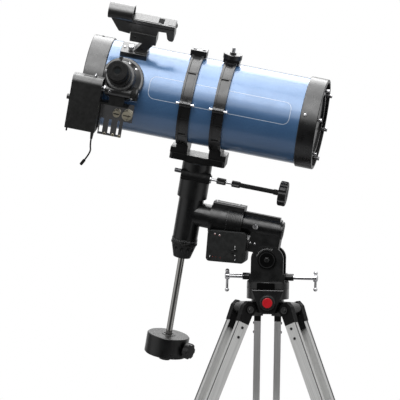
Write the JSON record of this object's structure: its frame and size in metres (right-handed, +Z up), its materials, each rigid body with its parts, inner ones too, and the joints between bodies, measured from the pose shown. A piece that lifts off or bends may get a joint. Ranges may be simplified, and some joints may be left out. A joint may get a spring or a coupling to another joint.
{
  "type": "telescope on tripod",
  "caption": "Short reflecting telescope in hinged tube rings on a motor-driven equatorial mount with counterweight, standing on a folding aluminium tripod.",
  "frame": {"origin": "on the ground under the middle of the tripod", "axes": "+Z up; the picture looks along +Y; the open end of the tube points to -X"},
  "size_m": [0.6766, 0.5555, 1.1888],
  "materials": {
    "black_casting": "satin",
    "tripod_aluminium": "satin",
    "black_plastic": "matte",
    "red_plastic": "gloss",
    "chrome_steel": "polished",
    "worm_steel": "satin",
    "black_iron": "satin",
    "blue_paint": "gloss",
    "mirror_glass": "polished",
    "cable_rubber": "matte",
    "grey_plastic": "satin"
  },
  "bodies": {
    "tripod": {"tripod_hub": "black_casting"},
    "leg_back": {"leg_back_fittings": "black_plastic", "leg_back_bars": "tripod_aluminium"},
    "leg_back_slider": {"leg_back_slider": "tripod_aluminium"},
    "leg_back_knob": {"leg_back_knob": "black_plastic"},
    "leg_back_strut": {"leg_back_strut": "black_plastic"},
    "leg_left": {"leg_left_fittings": "black_plastic", "leg_left_bars": "tripod_aluminium"},
    "leg_left_slider": {"leg_left_slider": "tripod_aluminium"},
    "leg_left_knob": {"leg_left_knob": "black_plastic"},
    "leg_left_strut": {"leg_left_strut": "black_plastic"},
    "leg_right": {"leg_right_fittings": "black_plastic", "leg_right_bars": "tripod_aluminium"},
    "leg_right_slider": {"leg_right_slider": "tripod_aluminium"},
    "leg_right_knob": {"leg_right_knob": "black_plastic"},
    "leg_right_strut": {"leg_right_strut": "black_plastic"},
    "accessory_tray": {"accessory_tray": "black_casting"},
    "azimuth_knob": {"azimuth_knob": "black_plastic", "azimuth_knob_cap": "red_plastic"},
    "azimuth": {"azimuth_base": "black_casting"},
    "latitude": {"polar_housing": "black_casting", "drive_case": "black_plastic"},
    "latitude_bolt_front": {"latitude_bolt_front": "chrome_steel"},
    "latitude_bolt_rear": {"latitude_bolt_rear": "chrome_steel"},
    "drive_switch": {"drive_switch": "black_plastic"},
    "ra_worm": {"ra_worm": "worm_steel"},
    "ra_clamp_screw": {"ra_clamp_screw": "worm_steel"},
    "ra_setting_circle": {"ra_setting_circle": "black_casting"},
    "right_ascension": {"ra_axis": "worm_steel", "dec_housing": "black_casting", "counterweight_nut": "black_casting", "counterweight_bar": "chrome_steel"},
    "dec_clamp_screw": {"dec_clamp_screw": "worm_steel"},
    "slow_motion": {"slow_motion_cable": "worm_steel", "slow_motion_knob": "black_plastic"},
    "dec_setting_circle": {"dec_setting_circle": "black_casting"},
    "declination": {"saddle": "black_casting", "ring_lower_halves": "black_casting", "main_tube": "blue_paint", "front_ring": "black_casting", "mirror_cell": "black_casting", "primary_mirror": "mirror_glass", "spider": "black_casting", "secondary_mirror": "mirror_glass", "focuser_body": "black_casting", "focus_motor": "black_plastic", "motor_cord": "cable_rubber", "cord_plug": "cable_rubber", "finder_bracket": "black_plastic", "finder_body": "grey_plastic"},
    "counterweight": {"counterweight": "black_iron"},
    "counterweight_screw": {"counterweight_screw": "black_plastic"},
    "ring_upper_front": {"ring_upper_front": "black_casting"},
    "ring_knob_front": {"ring_knob_front": "black_plastic"},
    "ring_upper_rear": {"ring_upper_rear": "black_casting"},
    "ring_knob_rear": {"ring_knob_rear": "black_plastic"},
    "draw_tube": {"draw_tube": "chrome_steel"},
    "focus_pinion": {"focus_pinion": "worm_steel"},
    "eyepiece": {"eyepiece": "black_plastic"},
    "finder_dial": {"finder_dial": "black_plastic"}
  },
  "joints": [
    {"name": "leg_back_fold", "type": "hinge", "parent": "tripod", "child": "leg_back", "pos_m": [-0.00544, 0.05172, 0.62313], "axis": [-0.9945, -0.1045, 0], "range_deg": [0, 10]},
    {"name": "leg_back_extend", "type": "slide", "parent": "leg_back", "child": "leg_back_slider", "axis": [-0.0418, 0.3982, -0.9164], "range_m": [0, 0.25]},
    {"name": "leg_back_knob_turn", "type": "hinge", "parent": "leg_back", "child": "leg_back_knob", "pos_m": [-0.02967, 0.28225, 0.09255], "axis": [-0.0958, 0.9113, 0.4003], "continuous": true},
    {"name": "leg_back_strut_swing", "type": "hinge", "parent": "leg_back", "child": "leg_back_strut", "pos_m": [-0.01694, 0.16115, 0.3113], "axis": [-0.9945, -0.1045, 0], "range_deg": [0, 27.32]},
    {"name": "leg_left_fold", "type": "hinge", "parent": "tripod", "child": "leg_left", "pos_m": [-0.04207, -0.03056, 0.62313], "axis": [0.5878, -0.809, 0], "range_deg": [0, 10]},
    {"name": "leg_left_extend", "type": "slide", "parent": "leg_left", "child": "leg_left_slider", "axis": [-0.3239, -0.2353, -0.9164], "range_m": [0, 0.25]},
    {"name": "leg_left_knob_turn", "type": "hinge", "parent": "leg_left", "child": "leg_left_knob", "pos_m": [-0.2296, -0.16681, 0.09255], "axis": [-0.7414, -0.5386, 0.4003], "continuous": true},
    {"name": "leg_left_strut_swing", "type": "hinge", "parent": "leg_left", "child": "leg_left_strut", "pos_m": [-0.1311, -0.09525, 0.3113], "axis": [0.5878, -0.809, 0], "range_deg": [0, 27.32]},
    {"name": "leg_right_fold", "type": "hinge", "parent": "tripod", "child": "leg_right", "pos_m": [0.0475, -0.02115, 0.62313], "axis": [0.4067, 0.9135, 0], "range_deg": [0, 10]},
    {"name": "leg_right_extend", "type": "slide", "parent": "leg_right", "child": "leg_right_slider", "axis": [0.3657, -0.1628, -0.9164], "range_m": [0, 0.25]},
    {"name": "leg_right_knob_turn", "type": "hinge", "parent": "leg_right", "child": "leg_right_knob", "pos_m": [0.25927, -0.11543, 0.09255], "axis": [0.8371, -0.3727, 0.4003], "continuous": true},
    {"name": "leg_right_strut_swing", "type": "hinge", "parent": "leg_right", "child": "leg_right_strut", "pos_m": [0.14803, -0.06591, 0.3113], "axis": [0.4067, 0.9135, 0], "range_deg": [0, 27.32]},
    {"name": "tray_rise", "type": "slide", "parent": "tripod", "child": "accessory_tray", "axis": [0, 0, 1], "range_m": [0, 0.05103]},
    {"name": "azimuth_knob_turn", "type": "hinge", "parent": "tripod", "child": "azimuth_knob", "pos_m": [0.00523, -0.04973, 0.63713], "axis": [-0.1045, 0.9945, 0], "continuous": true},
    {"name": "azimuth_turn", "type": "hinge", "parent": "tripod", "child": "azimuth", "pos_m": [0, 0, 0.62313], "axis": [0, 0, 1], "continuous": true},
    {"name": "latitude_tilt", "type": "hinge", "parent": "azimuth", "child": "latitude", "pos_m": [0, 0, 0.71373], "axis": [0, 1, 0], "range_deg": [0, 40]},
    {"name": "latitude_bolt_front_travel", "type": "slide", "parent": "azimuth", "child": "latitude_bolt_front", "axis": [-1, 0, 0], "range_m": [0, 0.03122]},
    {"name": "latitude_bolt_rear_travel", "type": "slide", "parent": "azimuth", "child": "latitude_bolt_rear", "axis": [-1, 0, 0], "range_m": [0, 0.0221]},
    {"name": "drive_switch_slide", "type": "slide", "parent": "latitude", "child": "drive_switch", "axis": [0.9981, 0, -0.061], "range_m": [0, 0.006]},
    {"name": "ra_worm_turn", "type": "hinge", "parent": "latitude", "child": "ra_worm", "pos_m": [-0.09267, 0, 0.81065], "axis": [0, 1, 0], "range_deg": [-6490, 6490]},
    {"name": "ra_clamp_turn", "type": "hinge", "parent": "latitude", "child": "ra_clamp_screw", "pos_m": [-0.02276, -0.02, 0.77401], "axis": [0, 1, 0], "continuous": true},
    {"name": "ra_circle_turn", "type": "hinge", "parent": "latitude", "child": "ra_setting_circle", "pos_m": [-0.06517, 0, 0.78111], "axis": [0.9863, 0, -0.165], "continuous": true},
    {"name": "right_ascension_turn", "type": "hinge", "parent": "latitude", "child": "right_ascension", "pos_m": [-0.14901, 0, 0.79514], "axis": [0.9863, 0, -0.165], "range_deg": [-90, 90]},
    {"name": "dec_clamp_turn", "type": "hinge", "parent": "right_ascension", "child": "dec_clamp_screw", "pos_m": [-0.16637, -0.01173, 0.87315], "axis": [0.9863, 0, -0.165], "continuous": true},
    {"name": "slow_motion_turn", "type": "hinge", "parent": "right_ascension", "child": "slow_motion", "pos_m": [-0.10772, -0.03208, 0.86007], "axis": [0.9863, 0, -0.165], "continuous": true},
    {"name": "dec_circle_turn", "type": "hinge", "parent": "right_ascension", "child": "dec_setting_circle", "pos_m": [-0.15781, 0.00845, 0.74253], "axis": [0.163, -0.1564, 0.9741], "continuous": true},
    {"name": "declination_turn", "type": "hinge", "parent": "right_ascension", "child": "declination", "pos_m": [-0.13271, -0.01564, 0.89255], "axis": [0.163, -0.1564, 0.9741], "continuous": true},
    {"name": "counterweight_slide", "type": "slide", "parent": "right_ascension", "child": "counterweight", "axis": [0.163, -0.1564, 0.9741], "range_m": [0, 0.11]},
    {"name": "counterweight_screw_turn", "type": "hinge", "parent": "counterweight", "child": "counterweight_screw", "pos_m": [-0.15541, 0.02242, 0.53906], "axis": [0.8751, -0.433, -0.216], "continuous": true},
    {"name": "ring_open_front", "type": "hinge", "parent": "declination", "child": "ring_upper_front", "pos_m": [-0.14574, -0.12461, 1.00247], "axis": [0.9863, 0, -0.165], "range_deg": [0, 80]},
    {"name": "ring_knob_front_turn", "type": "hinge", "parent": "ring_upper_front", "child": "ring_knob_front", "pos_m": [-0.14099, 0.05713, 1.03086], "axis": [0.163, -0.1564, 0.9741], "continuous": true},
    {"name": "ring_open_rear", "type": "hinge", "parent": "declination", "child": "ring_upper_rear", "pos_m": [-0.08459, -0.12461, 0.99224], "axis": [0.9863, 0, -0.165], "range_deg": [0, 80]},
    {"name": "ring_knob_rear_turn", "type": "hinge", "parent": "ring_upper_rear", "child": "ring_knob_rear", "pos_m": [-0.07984, 0.05713, 1.02063], "axis": [0.163, -0.1564, 0.9741], "continuous": true},
    {"name": "focus_travel", "type": "slide", "parent": "declination", "child": "draw_tube", "axis": [0.0343, -0.9781, 0.2051], "range_m": [-0.009, 0.025]},
    {"name": "focus_pinion_turn", "type": "hinge", "parent": "declination", "child": "focus_pinion", "pos_m": [-0.26679, -0.14417, 1.02433], "axis": [0.9863, 0, -0.165], "range_deg": [-104, 288]},
    {"name": "eyepiece_pull", "type": "slide", "parent": "draw_tube", "child": "eyepiece", "axis": [0.0343, -0.9781, 0.2051], "range_m": [0, 0.035]},
    {"name": "finder_dial_turn", "type": "hinge", "parent": "declination", "child": "finder_dial", "pos_m": [-0.17257, -0.10765, 1.14511], "axis": [0.0923, 0.829, 0.5515], "range_deg": [0, 270]}
  ],
  "couplings": [
    {"joint": "leg_back_strut_swing", "follows": "leg_back_fold", "ratio": 2.682},
    {"joint": "leg_left_fold", "follows": "leg_back_fold", "ratio": 1},
    {"joint": "leg_left_strut_swing", "follows": "leg_back_fold", "ratio": 2.682},
    {"joint": "leg_right_fold", "follows": "leg_back_fold", "ratio": 1},
    {"joint": "leg_right_strut_swing", "follows": "leg_back_fold", "ratio": 2.682},
    {"joint": "tray_rise", "follows": "leg_back_fold", "m_per_rad": 0.2895},
    {"joint": "latitude_bolt_front_travel", "follows": "latitude_tilt", "m_per_rad": 0.0445},
    {"joint": "latitude_bolt_rear_travel", "follows": "latitude_tilt", "m_per_rad": 0.0315},
    {"joint": "ra_worm_turn", "follows": "right_ascension_turn", "ratio": 72},
    {"joint": "slow_motion_turn", "follows": "declination_turn", "ratio": 60},
    {"joint": "focus_pinion_turn", "follows": "focus_travel", "rad_per_m": 200}
  ]
}
